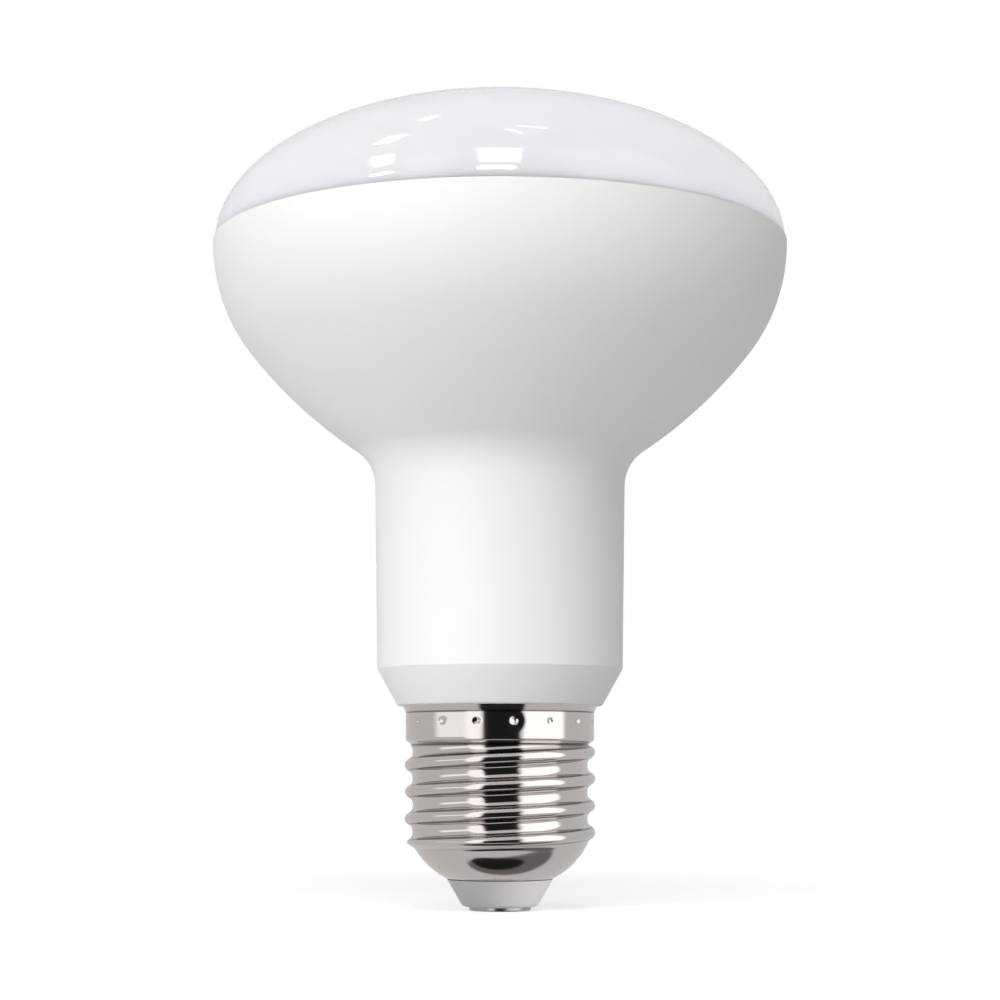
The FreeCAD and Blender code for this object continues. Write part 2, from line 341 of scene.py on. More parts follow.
def fine_relief():
    """Slight waviness and grain of a moulded or plated surface."""
    group = node_tree_group(
        RELIEF,
        "ShaderNodeTree",
        [
            ("Wave size", "NodeSocketFloat", 60.0),
            ("Grain size", "NodeSocketFloat", 900.0),
            ("Grain share", "NodeSocketFloat", 0.3),
        ],
        [("Height", "NodeSocketFloat"), ("Mask", "NodeSocketFloat")],
    )
    nodes = group.nodes
    link = group.links.new
    source = nodes.new("NodeGroupInput")
    spot = nodes.new("ShaderNodeTexCoord")
    wave = nodes.new("ShaderNodeTexNoise")
    grain = nodes.new("ShaderNodeTexNoise")
    wave.inputs["Detail"].default_value = 2
    grain.inputs["Detail"].default_value = 3
    link(spot.outputs["Object"], wave.inputs["Vector"])
    link(spot.outputs["Object"], grain.inputs["Vector"])
    link(source.outputs["Wave size"], wave.inputs["Scale"])
    link(source.outputs["Grain size"], grain.inputs["Scale"])
    mix = nodes.new("ShaderNodeMix")
    link(source.outputs["Grain share"], mix.inputs["Factor"])
    link(wave.outputs["Fac"], mix.inputs["A"])
    link(grain.outputs["Fac"], mix.inputs["B"])
    result = nodes.new("NodeGroupOutput")
    link(mix.outputs["Result"], result.inputs["Height"])
    link(wave.outputs["Fac"], result.inputs["Mask"])
    return group


def surface(name, base, roughness, roughness_spread, relief_depth, wave_size, **values):
    """Material with the shared relief in its bump and its roughness."""
    material = bpy.data.materials.new(name)
    material.use_nodes = True
    nodes = material.node_tree.nodes
    link = material.node_tree.links.new
    shader = nodes["Principled BSDF"]
    shader.inputs["Base Color"].default_value = (*base, 1)
    shader.inputs["Roughness"].default_value = roughness
    for label, value in values.items():
        shader.inputs[label.replace("_", " ")].default_value = value
    texture = nodes.new("ShaderNodeGroup")
    texture.node_tree = relief_group()
    texture.inputs["Wave size"].default_value = wave_size
    bump = nodes.new("ShaderNodeBump")
    bump.inputs["Strength"].default_value = 1.0
    bump.inputs["Distance"].default_value = relief_depth
    link(texture.outputs["Height"], bump.inputs["Height"])
    link(bump.outputs["Normal"], shader.inputs["Normal"])
    # Noise seldom leaves 0.3 to 0.7
    spread = nodes.new("ShaderNodeMapRange")
    spread.inputs["From Min"].default_value = 0.3
    spread.inputs["From Max"].default_value = 0.7
    spread.inputs["To Min"].default_value = roughness - roughness_spread
    spread.inputs["To Max"].default_value = roughness + roughness_spread
    link(texture.outputs["Mask"], spread.inputs["Value"])
    link(spread.outputs["Result"], shader.inputs["Roughness"])
    return material


# Geometry nodes of the cap


class NodeMaths:
    """Short way to write sums with math nodes in a node tree."""

    def __init__(self, group, source=None):
        self.group = group
        self.source = source

    def __call__(self, operation, *values):
        node = self.group.nodes.new("ShaderNodeMath")
        node.operation = operation
        self.fill(node.inputs, values)
        return node.outputs[0]

    def fill(self, sockets, values):
        """Link each value that is a socket, and write each plain number."""
        for socket, value in zip(sockets, values):
            if isinstance(value, bpy.types.NodeSocket):
                self.group.links.new(value, socket)
            else:
                socket.default_value = value

    def given(self, name):
        """One of the group's own inputs."""
        return self.source.outputs[name]

    def within(self, value, low, high, soft):
        """One between low and high, and nothing outside, with soft edges."""
        rise = self.ramp(value, low - soft, low + soft, 0.0, 1.0)
        fall = self.ramp(value, high - soft, high + soft, 1.0, 0.0)
        return self("MULTIPLY", rise, fall)

    def ramp(self, value, low, high, start, end):
        """Smooth step from start to end while value goes from low to high."""
        node = self.group.nodes.new("ShaderNodeMapRange")
        node.interpolation_type = "SMOOTHSTEP"
        self.fill(node.inputs, (value, low, high, start, end))
        return node.outputs[0]


def thread_rise(maths, angle, height):
    """Height over the thread's root, distance from the nearest crest, and half a crest's width."""
    given = maths.given
    climbed = maths("MULTIPLY", maths("DIVIDE", angle, 2 * math.pi), given("Pitch"))
    above = maths("SUBTRACT", maths("SUBTRACT", height, given("Top Crest")), climbed)
    half = maths("MULTIPLY", given("Pitch"), 0.5)
    away = maths("ABSOLUTE", maths("WRAP", above, half, maths("MULTIPLY", half, -1.0)))

    # Rounded crest and rounded root that run into each other at one slope
    slope = maths("MULTIPLY", maths("ARCTANGENT", maths("DIVIDE", given("Depth"), half)), 2.0)
    steep = maths("SINE", slope)
    crest_width = maths("MULTIPLY", half, given("Crest Share"))
    root_width = maths("SUBTRACT", half, crest_width)
    crest_arc = maths("DIVIDE", crest_width, steep)
    root_arc = maths("DIVIDE", root_width, steep)

    def drop(arc_radius, aside):
        """How far an arc has fallen below its middle."""
        reach = maths("MULTIPLY", arc_radius, arc_radius)
        squares = maths("SUBTRACT", reach, maths("MULTIPLY", aside, aside))
        return maths("SUBTRACT", arc_radius, maths("SQRT", maths("MAXIMUM", squares, 0.0)))

    on_crest = maths("LESS_THAN", away, crest_width)
    crest_rise = maths("SUBTRACT", given("Depth"), drop(crest_arc, maths("MINIMUM", away, crest_width)))
    from_root = maths("MINIMUM", maths("SUBTRACT", half, away), root_width)
    root_rise = drop(root_arc, from_root)
    on_root = maths("SUBTRACT", 1.0, on_crest)
    rise = maths("ADD", maths("MULTIPLY", on_crest, crest_rise), maths("MULTIPLY", on_root, root_rise))
    return rise, away, crest_width


def run_outs(maths, height):
    """One along the thread, falling to nothing at both of its ends."""
    given = maths.given
    foot_end = maths("ADD", given("Fade Foot"), given("Fade Foot Rise"))
    top_start = maths("SUBTRACT", given("Fade Top"), given("Fade Top Fall"))
    return maths(
        "MULTIPLY",
        maths.ramp(height, given("Fade Foot"), foot_end, 0.0, 1.0),
        maths.ramp(height, top_start, given("Fade Top"), 1.0, 0.0),
    )


def crimps(maths, radius, angle, height):
    """Depth of one dimple in each step round the collar, and of a soft dent round the first."""
    given = maths.given
    turned_by = maths("SUBTRACT", angle, given("Dimple Turn"))
    half_step = maths("MULTIPLY", given("Dimple Step"), 0.5)
    in_step = maths("WRAP", turned_by, half_step, maths("MULTIPLY", half_step, -1.0))
    above_dimple = maths("SUBTRACT", height, given("Dimple Height"))

    def pressed(turn_away, width, depth):
        """Soft round hollow, deepest in its middle."""
        aside = maths("MULTIPLY", turn_away, radius)
        across = maths("MULTIPLY", aside, aside)
        squares = maths("ADD", across, maths("MULTIPLY", above_dimple, above_dimple))
        return maths.ramp(maths("SQRT", squares), 0.0, width, depth, 0.0)

    dimple = pressed(in_step, given("Dimple Radius"), given("Dimple Depth"))
    dent = pressed(turned_by, given("Dent Radius"), given("Dent Depth"))
    return dimple, dent


def painted_crease_shade(maths, height, from_flank, fade):
    """Mask of the painted shade in the thread's flanks, under the lip and under the collar."""
    given = maths.given

    def line(from_line, width):
        """One on a line, falling to nothing on both sides."""
        return maths.ramp(maths("ABSOLUTE", from_line), 0.0, width, 1.0, 0.0)

    width = given("Crease Width")
    wider = maths("MULTIPLY", width, 1.6)
    flank = maths("MULTIPLY", line(from_flank, width), fade)
    lip = line(maths("SUBTRACT", height, given("Lip Line")), width)
    shoulder = line(maths("SUBTRACT", height, given("Shoulder Line")), wider)
    return maths("MAXIMUM", flank, maths("MAXIMUM", lip, shoulder))


def rolled_cap_tree():
    """Tree that rolls the thread and presses the crimps, as a change of radius."""
    lengths = [
        "Pitch", "Depth", "Root Radius", "Top Crest", "Fade Foot", "Fade Foot Rise", "Fade Top",
        "Fade Top Fall", "Blend", "Dimple Height", "Dimple Radius", "Dimple Depth", "Dent Radius",
        "Dent Depth", "Lip Line", "Shoulder Line", "Crease Width",
    ]
    group = node_tree_group(
        "Rolled cap",
        "GeometryNodeTree",
        [("Geometry", "NodeSocketGeometry", None)]
        + [(name, "NodeSocketFloat", MM) for name in lengths]
        + [
            ("Crest Share", "NodeSocketFloat", 0.5),
            ("Dimple Step", "NodeSocketFloat", 1.0),
            ("Dimple Turn", "NodeSocketFloat", 0.0),
            ("Material", "NodeSocketMaterial", None),
        ],
        [("Geometry", "NodeSocketGeometry")],
    )
    nodes = group.nodes
    link = group.links.new
    maths = NodeMaths(group, nodes.new("NodeGroupInput"))
    given = maths.given
    position = nodes.new("GeometryNodeInputPosition")
    parts = nodes.new("ShaderNodeSeparateXYZ")
    link(position.outputs[0], parts.inputs[0])
    x, y, height = parts.outputs
    radius = maths("SQRT", maths("ADD", maths("MULTIPLY", x, x), maths("MULTIPLY", y, y)))
    angle = maths("ARCTAN2", y, x)

    rise, away, crest_width = thread_rise(maths, angle, height)
    fade = run_outs(maths, height)
    core = maths("MINIMUM", radius, given("Root Radius"))
    threaded = maths("ADD", core, maths("MULTIPLY", rise, fade))
    rolled = maths("SMOOTH_MAX", radius, threaded, given("Blend"))
    dimple, dent = crimps(maths, radius, angle, height)
    shaped = maths("SUBTRACT", maths("SUBTRACT", rolled, dimple), dent)
    scale = maths("DIVIDE", shaped, radius)
    moved = nodes.new("ShaderNodeCombineXYZ")
    maths.fill(moved.inputs, (maths("MULTIPLY", x, scale), maths("MULTIPLY", y, scale), height))

    # Painted shade of the creases, stored on the points for the plating's colour
    store = nodes.new("GeometryNodeStoreNamedAttribute")
    store.data_type = "FLOAT"
    store.domain = "POINT"
    store.inputs["Name"].default_value = CREASE_SHADE
    link(given("Geometry"), store.inputs["Geometry"])
    from_flank = maths("SUBTRACT", away, crest_width)
    link(painted_crease_shade(maths, height, from_flank, fade), store.inputs["Value"])

    skin = nodes.new("GeometryNodeInputNamedAttribute")
    skin.data_type = "BOOLEAN"
    skin.inputs["Name"].default_value = OUTER_SKIN
    set_position = nodes.new("GeometryNodeSetPosition")
    realize = nodes.new("GeometryNodeRealizeInstances")
    set_material = nodes.new("GeometryNodeSetMaterial")
    result = nodes.new("NodeGroupOutput")
    link(store.outputs["Geometry"], set_position.inputs["Geometry"])
    link(skin.outputs[0], set_position.inputs["Selection"])
    link(moved.outputs[0], set_position.inputs["Position"])
    link(set_position.outputs["Geometry"], realize.inputs["Geometry"])
    link(realize.outputs["Geometry"], set_material.inputs["Geometry"])
    link(given("Material"), set_material.inputs["Material"])
    link(set_material.outputs["Geometry"], result.inputs["Geometry"])
    return group


def through_tree(mesh, tree, values):
    """Plain mesh that a geometry node tree makes of a mesh."""
    carrier = bpy.data.objects.new(mesh.name + "_carrier", mesh)
    bpy.context.scene.collection.objects.link(carrier)
    modifier = carrier.modifiers.new("Tree", "NODES")
    modifier.node_group = tree
    for socket in tree.interface.items_tree:
        if socket.in_out == "INPUT" and socket.name in values:
            modifier[socket.identifier] = values[socket.name]
    evaluated = carrier.evaluated_get(bpy.context.evaluated_depsgraph_get())
    made = bpy.data.meshes.new_from_object(evaluated)
    carrier.modifiers.remove(modifier)
    bpy.data.objects.remove(carrier)
    bpy.data.meshes.remove(mesh)
    return made


# Operators


class BULB_OT_diffuser(bpy.types.Operator):
    """Turn the opal dome with its plug."""

    bl_idname = "bulb.diffuser"
    bl_label = "Diffuser"

    def execute(self, context):
        sizes = context.scene.bulb_diffuser
        rim = context.scene.bulb_housing.rim_height
        steps = 72
        quarter = [math.pi / 2 * step / steps for step in range(steps)]
        rise = sizes.top - rim
        wall = sizes.wall
        bore = sizes.plug_radius - wall
        ledge_angle = math.asin(wall / (rise - wall))
        outside = [(sizes.radius * math.cos(a), rim + rise * math.sin(a)) for a in quarter]
        hollow = [
            ((sizes.radius - wall) * math.cos(a), rim + (rise - wall) * math.sin(a))
            for a in reversed(quarter) if a > ledge_angle
        ]
        skirt = [(bore, sizes.plug_foot), (sizes.plug_radius, sizes.plug_foot), (sizes.plug_radius, rim)]
        crown = [(0, sizes.top), (0, sizes.top - wall)]
        outline = skirt + outside + crown + hollow + [(bore, rim + wall)]
        mesh = lathe("opal_dome", outline, LARGE_COLUMNS, closed=True)
        material = surface(
            "Opal plastic",
            context.scene.bulb_finishes.diffuser,
            roughness=0.05,
            roughness_spread=0.01,
            relief_depth=0.01 * MM,
            wave_size=25.0,
            IOR=1.49,
            Subsurface_Weight=1.0,
            Subsurface_Radius=(1, 1, 1),
            Subsurface_Scale=3 * MM,
        )
        place("opal_dome", mesh, material, "diffuser")
        return {"FINISHED"}


class BULB_OT_housing(bpy.types.Operator):
    """Turn the moulded neck and bowl."""

    bl_idname = "bulb.housing"
    bl_label = "Housing"

    def execute(self, context):
        mesh = lathe("moulded_housing", self.outline(context.scene.bulb_housing), LARGE_COLUMNS)
        material = surface(
            "White moulding",
            context.scene.bulb_finishes.housing,
            roughness=0.42,
            roughness_spread=0.04,
            relief_depth=0.02 * MM,
            wave_size=90.0,
            IOR=1.5,
            Specular_IOR_Level=0.2,
        )
        place("moulded_housing", mesh, material, "housing")
        return {"FINISHED"}

    def outline(self, sizes):
        """Half section from the spigot up over the bowl and down into the mouth."""
        spigot_foot = HOUSING_BOX[0][2]
        foot_corner = (sizes.cone_foot_radius, sizes.foot)
        seat_corner = (sizes.seat_radius, sizes.foot)
        neck_corner = (sizes.neck_foot_radius, sizes.neck_foot)
        bowl, neck_top = self.bowl(sizes)
        mouth_radius = sizes.rim_radius - sizes.ledge
        mouth_floor = sizes.rim_height - sizes.mouth_depth
        return (
            [
                (0, spigot_foot),
                (sizes.spigot_radius, spigot_foot),
                (sizes.spigot_radius, sizes.seat_foot),
                (sizes.seat_radius, sizes.seat_foot + sizes.seat_rise),
                seat_corner,
            ]
            + rounded(seat_corner, foot_corner, neck_corner, sizes.cone_edge)
            + rounded(foot_corner, neck_corner, neck_top, sizes.neck_edge)
            + bowl
            + [(mouth_radius, sizes.rim_height), (mouth_radius, mouth_floor), (0, mouth_floor)]
        )

    def bowl(self, sizes):
        """Three arcs that run into each other, and the point where the neck ends."""
        turned = sizes.rim_arc_turn
        rim_centre = (sizes.rim_radius - sizes.rim_arc, sizes.rim_height)
        back = sizes.belly_arc - sizes.rim_arc
        belly_centre = (
            rim_centre[0] - back * math.cos(turned),
            rim_centre[1] + back * math.sin(turned),
        )
        fillet_x = sizes.neck_top_radius + sizes.neck_fillet
        aside = fillet_x - belly_centre[0]
        reach = sizes.belly_arc + sizes.neck_fillet
        neck_height = belly_centre[1] - math.sqrt(reach ** 2 - aside ** 2)
        foot_angle = math.atan2(neck_height - belly_centre[1], aside)
        fillet_centre = (fillet_x, neck_height)
        fillet = arc(fillet_centre, sizes.neck_fillet, math.pi, math.pi + foot_angle, steps=20)
        belly = arc(belly_centre, sizes.belly_arc, foot_angle, -turned, steps=28)
        rim = arc(rim_centre, sizes.rim_arc, -turned, 0, steps=20)
        return fillet + belly[1:] + rim[1:], fillet[0]


class BULB_OT_screw_cap(bpy.types.Operator):
    """Turn the cap's shell, roll its thread and press its crimps."""

    bl_idname = "bulb.screw_cap"
    bl_label = "Screw cap"

    def execute(self, context):
        sizes = context.scene.bulb_cap
        outside, inside = self.outline(sizes)
        blank = lathe("screw_cap", outside + inside, sizes.segments, closed=True)
        skin = blank.attributes.new(OUTER_SKIN, "BOOLEAN", "POINT")
        outer_points = len(outside) * sizes.segments
        skin.data.foreach_set("value", [index < outer_points for index in range(len(blank.vertices))])
        base = context.scene.bulb_finishes.nickel
        material = surface(
            "Nickel plate",
            base,
            roughness=0.1,
            roughness_spread=0.025,
            relief_depth=0.006 * MM,
            wave_size=70.0,
            Metallic=1.0,
        )
        # Painted shade in the thread's flanks, under the lip and under the collar
        self.paint_crease_shade(material, base)
        values = {
            "Pitch": sizes.pitch,
            "Depth": sizes.depth,
            "Root Radius": sizes.crest_radius - sizes.depth,
            "Top Crest": sizes.top_crest,
            "Fade Foot": sizes.fade_foot,
            "Fade Foot Rise": sizes.fade_foot_rise,
            "Fade Top": sizes.fade_top,
            "Fade Top Fall": sizes.fade_top_fall,
            "Blend": sizes.blend,
            "Dimple Height": sizes.dimple_height,
            "Dimple Radius": sizes.dimple_radius,
            "Dimple Depth": sizes.dimple_depth,
            "Dent Radius": sizes.dent_radius,
            "Dent Depth": sizes.dent_depth,
            "Crest Share": sizes.crest_share,
            "Dimple Step": 2 * math.pi / sizes.dimples,
            "Dimple Turn": sizes.dimple_turn,
            # Lines where painted shade lies under the lip and under the collar
            "Lip Line": SHELL_BOX[1][2] - sizes.lip_height,
            "Shoulder Line": sizes.collar_foot,
            "Crease Width": sizes.crease_width,
            "Material": material,
        }
        mesh = through_tree(blank, rolled_cap_tree(), values)
        place("screw_cap", mesh, material, "screw_shell")
        return {"FINISHED"}

    def paint_crease_shade(self, material, base):
        """Painted shade: the plating's colour darkens where the mesh's own attribute marks a crease."""
        share_left = 0.2
        nodes = material.node_tree.nodes
        link = material.node_tree.links.new
        crease = nodes.new("ShaderNodeAttribute")
        crease.attribute_name = CREASE_SHADE
        # Painted shade: a fifth of the plating's colour where the mask is full
        painted_shade_tint = nodes.new("ShaderNodeMix")
        painted_shade_tint.data_type = "RGBA"
        painted_shade_tint.inputs["A"].default_value = (*base, 1)
        painted_shade_tint.inputs["B"].default_value = (*[share_left * part for part in base], 1)
        link(crease.outputs["Fac"], painted_shade_tint.inputs["Factor"])
        link(painted_shade_tint.outputs["Result"], nodes["Principled BSDF"].inputs["Base Color"])

    def outline(self, sizes):
        """The shell's outside from its hole up to the lip, and its inside back down."""
        root = sizes.crest_radius - sizes.depth
        collar_start = sizes.collar_foot + sizes.shoulder_rise
        top = SHELL_BOX[1][2]
        lip_start = top - sizes.lip_height
        shoulder = (root, sizes.collar_foot)
        collar = (sizes.collar_radius, collar_start)
        lip_root = (sizes.collar_radius, lip_start)
        lip_edge = (sizes.collar_radius + sizes.lip_flare, top)
        taper_foot = (sizes.floor_radius, sizes.floor)
        taper = bulged(taper_foot, (root, sizes.taper_top), sizes.taper_bulge, steps=40)
        # Five of nine steps up the shoulder, because the bend takes up the rest
        step_out = sizes.collar_radius - root
        steps = [step / 9 for step in range(1, 6)]
        slant = [(root + step_out * part, sizes.collar_foot + sizes.shoulder_rise * part) for part in steps]
        bend = rounded(shoulder, collar, lip_root, sizes.shoulder_bend)
        lip_bend = sizes.lip_height * 0.8
        flare = rounded(collar, lip_root, lip_edge, lip_bend, steps=8)
        outside = (
            [(sizes.hole_radius, sizes.floor)]
            + taper
            + climb(root, sizes.taper_top, sizes.collar_foot, sizes.row)
            + [shoulder]
            + slant
            + bend
            + climb(sizes.collar_radius, bend[-1][1], flare[0][1], sizes.row)
            + flare
            + [lip_edge]
        )
        bore = root - sizes.wall
        collar_bore = sizes.collar_radius - sizes.wall
        taper_start = (bore, sizes.taper_top + sizes.wall / 2)
        taper_end = (sizes.hole_radius, sizes.floor + sizes.wall)
        inside = [
            (lip_edge[0] - sizes.wall, top),
            (collar_bore, lip_start),
            (collar_bore, collar_start + sizes.wall / 2),
            (bore, sizes.collar_foot + sizes.wall / 2),
        ]
        inside += bulged(taper_start, taper_end, -sizes.taper_bulge, steps=6)
        return outside, inside


class BULB_OT_foot(bpy.types.Operator):
    """Turn the insulator and the centre contact."""

    bl_idname = "bulb.foot"
    bl_label = "Insulator and contact"

    def execute(self, context):
        sizes = context.scene.bulb_foot
        finishes = context.scene.bulb_finishes
        self.insulator(sizes, context.scene.bulb_cap.floor, finishes.insulator)
        self.contact(sizes, finishes.contact)
        return {"FINISHED"}

    def insulator(self, sizes, shoulder, base):
        """Tapered ring with an inner flange over the shell's floor."""
        foot = (sizes.insulator_foot_radius, sizes.contact_height)
        bore_foot = (sizes.bore, sizes.contact_height)
        top_edge = (sizes.insulator_top_radius, shoulder)
        neck = sizes.insulator_neck
        outline = [bore_foot]
        outline += rounded(bore_foot, foot, top_edge, sizes.insulator_edge, steps=8)
        outline += [
            top_edge,
            (neck, shoulder),
            (neck, sizes.clip_foot),
            (neck + sizes.insulator_clip, sizes.clip_foot + sizes.insulator_clip),
            (neck, sizes.clip_top),
            (sizes.bore, sizes.clip_top),
        ]
        mesh = lathe("cap_insulator", outline, INSULATOR_COLUMNS, closed=True)
        material = surface(
            "Insulator",
            base,
            roughness=0.3,
            roughness_spread=0.02,
            relief_depth=0.004 * MM,
            wave_size=60.0,
            IOR=1.5,
        )
        place("cap_insulator", mesh, material, "insulator")

    def contact(self, sizes, base):
        """Disc of the contact, with its rivet up through the insulator."""
        corner = (sizes.contact_radius, 0)
        upper = (sizes.contact_radius, sizes.contact_height)
        head_top = sizes.clip_top + sizes.head_height
        outline = [(0, 0)]
        outline += rounded((0, 0), corner, upper, sizes.contact_edge, steps=6)
        outline += [
            upper,
            (sizes.rivet_radius, sizes.contact_height),
            (sizes.rivet_radius, sizes.clip_top),
            (sizes.head_radius, sizes.clip_top),
            (sizes.head_radius, head_top),
            (0, head_top),
        ]
        mesh = lathe("contact_button", outline, CONTACT_COLUMNS)
        material = surface(
            "Contact plate",
            base,
            roughness=0.3,
            roughness_spread=0.08,
            relief_depth=0.01 * MM,
            wave_size=300.0,
            Metallic=1.0,
        )
        place("contact_button", mesh, material, "centre_contact")


class BULB_OT_stage(bpy.types.Operator):
    """Set the ground, the studio light and the camera."""

    bl_idname = "bulb.stage"
    bl_label = "Stage"

    def execute(self, context):
        studio = context.scene.bulb_studio
        self.ground(context.scene.bulb_finishes.floor, studio.floor_lift)
        self.world(context.scene, studio)
        self.softboxes(studio)
        self.camera(context.scene, studio)
        context.scene.view_settings.view_transform = "Standard"
        return {"FINISHED"}

    def ground(self, base, lifted):
        """Pale floor under the contact that shows white and keeps the shadow."""
        half = 3.0
        below = -0.02 * MM
        lift_start, lift_end = 0.15, 0.8
        mesh = bpy.data.meshes.new("floor")
        signs = ((-1, -1), (1, -1), (1, 1), (-1, 1))
        corners = [(half * across, half * along, below) for across, along in signs]
        mesh.from_pydata(corners, [], [(0, 1, 2, 3)])
        floor = bpy.data.objects.new("floor", mesh)
        bpy.context.scene.collection.objects.link(floor)
        material = bpy.data.materials.new("Ground")
        material.use_nodes = True
        nodes = material.node_tree.nodes
        link = material.node_tree.links.new
        shader = nodes["Principled BSDF"]
        shader.inputs["Base Color"].default_value = (*base, 1)
        shader.inputs["Roughness"].default_value = 0.8
        shader.inputs["Emission Color"].default_value = (1, 1, 1, 1)
        path = nodes.new("ShaderNodeLightPath")
        maths = NodeMaths(material.node_tree)
        spot = nodes.new("ShaderNodeTexCoord")
        reach = nodes.new("ShaderNodeVectorMath")
        reach.operation = "LENGTH"
        link(spot.outputs["Object"], reach.inputs[0])
        lift = maths.ramp(reach.outputs["Value"], lift_start, lift_end, lifted, 1.0)
        seen = maths("MULTIPLY", path.outputs["Is Camera Ray"], lift)
        link(seen, shader.inputs["Emission Strength"])
        mesh.materials.append(material)
        floor.visible_glossy = False

    def world(self, scene, studio):
        """Even light all round, plain white to the camera, and a studio to plated metal."""
        world = bpy.data.worlds.new("Studio")
        world.use_nodes = True
        scene.world = world
        tree = world.node_tree
        link = tree.links.new
        maths = NodeMaths(tree)
        direction = tree.nodes.new("ShaderNodeTexCoord")
        parts = tree.nodes.new("ShaderNodeSeparateXYZ")
        link(direction.outputs["Generated"], parts.inputs[0])
        right, away, up = parts.outputs
        near = maths("MULTIPLY", away, -1.0)
        seen = self.panels(tree, maths, studio, right, near, up)
        seen = self.ovals(tree, maths, studio, right, near, up, seen)
        seen = self.cloth(tree, maths, studio, right, near, up, seen)
        path = tree.nodes.new("ShaderNodeLightPath")
        mirrored = self.mixed(tree, path.outputs["Is Glossy Ray"], studio.sky, seen)
        shown = self.mixed(tree, path.outputs["Is Camera Ray"], mirrored, 1.0)
        background = tree.nodes["Background"]
        background.inputs["Color"].default_value = (1, 1, 1, 1)
        link(shown, background.inputs["Strength"])

    def panels(self, tree, maths, studio, right, near, up):
        """Upright panels of light in front of the studio's walls."""
        azimuth = maths("MULTIPLY", maths("ARCTAN2", right, near), 1 / DEGREE)
        elevation = maths("MULTIPLY", maths("ARCSINE", up), 1 / DEGREE)
        seen = studio.walls
        # Left and right edge, their softness, lower and upper edge, their softness, all in degrees
        for left, end, soft, low, high, blur, brightness in (
            (-84, -26, 6.0, -0.4, 12, 0.7, studio.left_panel),
            (-42, -22, 4.0, -34, 50, 6.0, studio.strip),
            (28, 84, 4.0, -25, 60, 3.0, studio.right_panel),
        ):
            across = maths.within(azimuth, left, end, soft)
            panel = maths("MULTIPLY", across, maths.within(elevation, low, high, blur))
            seen = self.mixed(tree, panel, seen, brightness)
        return seen

    def ovals(self, tree, maths, studio, right, near, up, seen):
        """Dim ground below the camera, and the dark cloth that lies on it."""
        edge_start, edge_end = 0.88, 1.12
        below = maths.ramp(up, -0.5, -0.3, 1.0, 0.0)
        # Middle and half width to the right, then towards the camera, as parts of a direction
        for across, wide, along, deep, brightness in (
            (0.14, 0.56, -0.05, 0.33, studio.dim),
            (-0.03, 0.36, 0.05, 0.21, studio.dark),
        ):
            from_middle = [
                maths("DIVIDE", maths("SUBTRACT", right, across), wide),
                maths("DIVIDE", maths("SUBTRACT", near, along), deep),
            ]
            reach = maths("ADD", *[maths("MULTIPLY", part, part) for part in from_middle])
            oval = maths("MULTIPLY", maths.ramp(reach, edge_start, edge_end, 1.0, 0.0), below)
            seen = self.mixed(tree, oval, seen, brightness)
        return seen

    def cloth(self, tree, maths, studio, right, near, up, seen):
        """Dark cloth behind the camera that gives the cap its dark band."""
        across = maths.within(right, -0.34, 0.40, 0.03)
        towards = maths.ramp(near, -0.17, -0.11, 0.0, 1.0)
        tall = maths.within(up, -0.83, 0.40, 0.04)
        cloth = maths("MULTIPLY", maths("MULTIPLY", across, towards), tall)
        return self.mixed(tree, cloth, seen, studio.dark)

    def mixed(self, tree, factor, plain, other):
        """Value that changes from plain to other with a factor."""
        node = tree.nodes.new("ShaderNodeMix")
        sockets = [node.inputs[name] for name in ("Factor", "A", "B")]
        NodeMaths(tree).fill(sockets, (factor, plain, other))
        return node.outputs["Result"]

    def softboxes(self, studio):
        """Large softboxes for the shading, and small ones that glint in the dome."""
        through = self.receivers("Opal alone", "opal_dome", "INCLUDE")
        around = self.receivers("All but opal", "opal_dome", "EXCLUDE")
        above = self.receivers("All but insulator", "cap_insulator", "EXCLUDE")
        low = self.receivers("Insulator alone", "cap_insulator", "INCLUDE")
        large_side = 34
        large_distance = 1.3
        small_distance = 1.5
        # Azimuth to the right from the camera and elevation in degrees, and radiance.
        # No two stand in one place, because each would take light from the other.
        for number, (azimuth, elevation, radiance, lit) in enumerate((
            (-50, 10, 4.25, above),
            (68, 4, 8.0, low),
            (-80, 10, 0.8, None),
            (50, 10, 1.4, None),
            (-25, 10, 1.5, around),
            (0, 50, 4.3, around),
            (180, 6, 3.0, around),
            (-76, 16, 1.15, through),
            (-12, 14, 0.65, through),
            (46, 16, 1.15, through),
            (82, 12, 3.1, through),
            (0, 88, 2.95, through),
            (180, 50, 4.1, through),
        )):
            level = math.cos(elevation * DEGREE)
            way = (
                math.sin(azimuth * DEGREE) * level,
                math.cos(azimuth * DEGREE) * level,
                math.sin(elevation * DEGREE),
            )
            piece = self.softbox(f"softbox_{number}", way, large_distance, large_side, large_side, 0)
            self.shine(piece, radiance * studio.light, lit)
            piece.visible_glossy = False
        # Direction to the right, towards the camera and upwards, then width, height
        # and roll in degrees, and the share of the windows' radiance
        for number, (right, near, up, width, tall, roll, part_used) in enumerate((
            (0.00, 0.69, 0.72, 14.0, 21.0, 0, 1.0),
            (-0.02, 0.88, 0.47, 13.7, 5.5, 0, 2.2),
            (-0.60, 0.42, 0.68, 8.2, 15.0, 28, 1.0),
            (-0.67, 0.60, 0.43, 8.6, 3.6, 10, 2.2),
            (-0.43, 0.03, 0.90, 5.4, 9.5, 30, 1.0),
            (0.06, 0.15, 0.985, 2.3, 6.5, 10, 1.0),
            (0.12, 0.02, 0.99, 2.3, 6.5, 0, 1.0),
            (-0.205, -0.30, 0.93, 5.0, 2.2, 18, 1.0),
        )):
            way = (right, near, up)
            piece = self.softbox(f"window_{number}", way, small_distance, width, tall, roll)
            self.shine(piece, studio.window * part_used, through)
            piece.visible_diffuse = False

    def receivers(self, name, piece_name, state):
        """Set that makes a softbox light one piece alone, or all but that piece."""
        chosen = bpy.data.collections.new(name)
        piece = bpy.data.objects.get(piece_name)
        if piece:
            chosen.objects.link(piece)
            chosen.collection_objects[0].light_linking.link_state = state
        return chosen

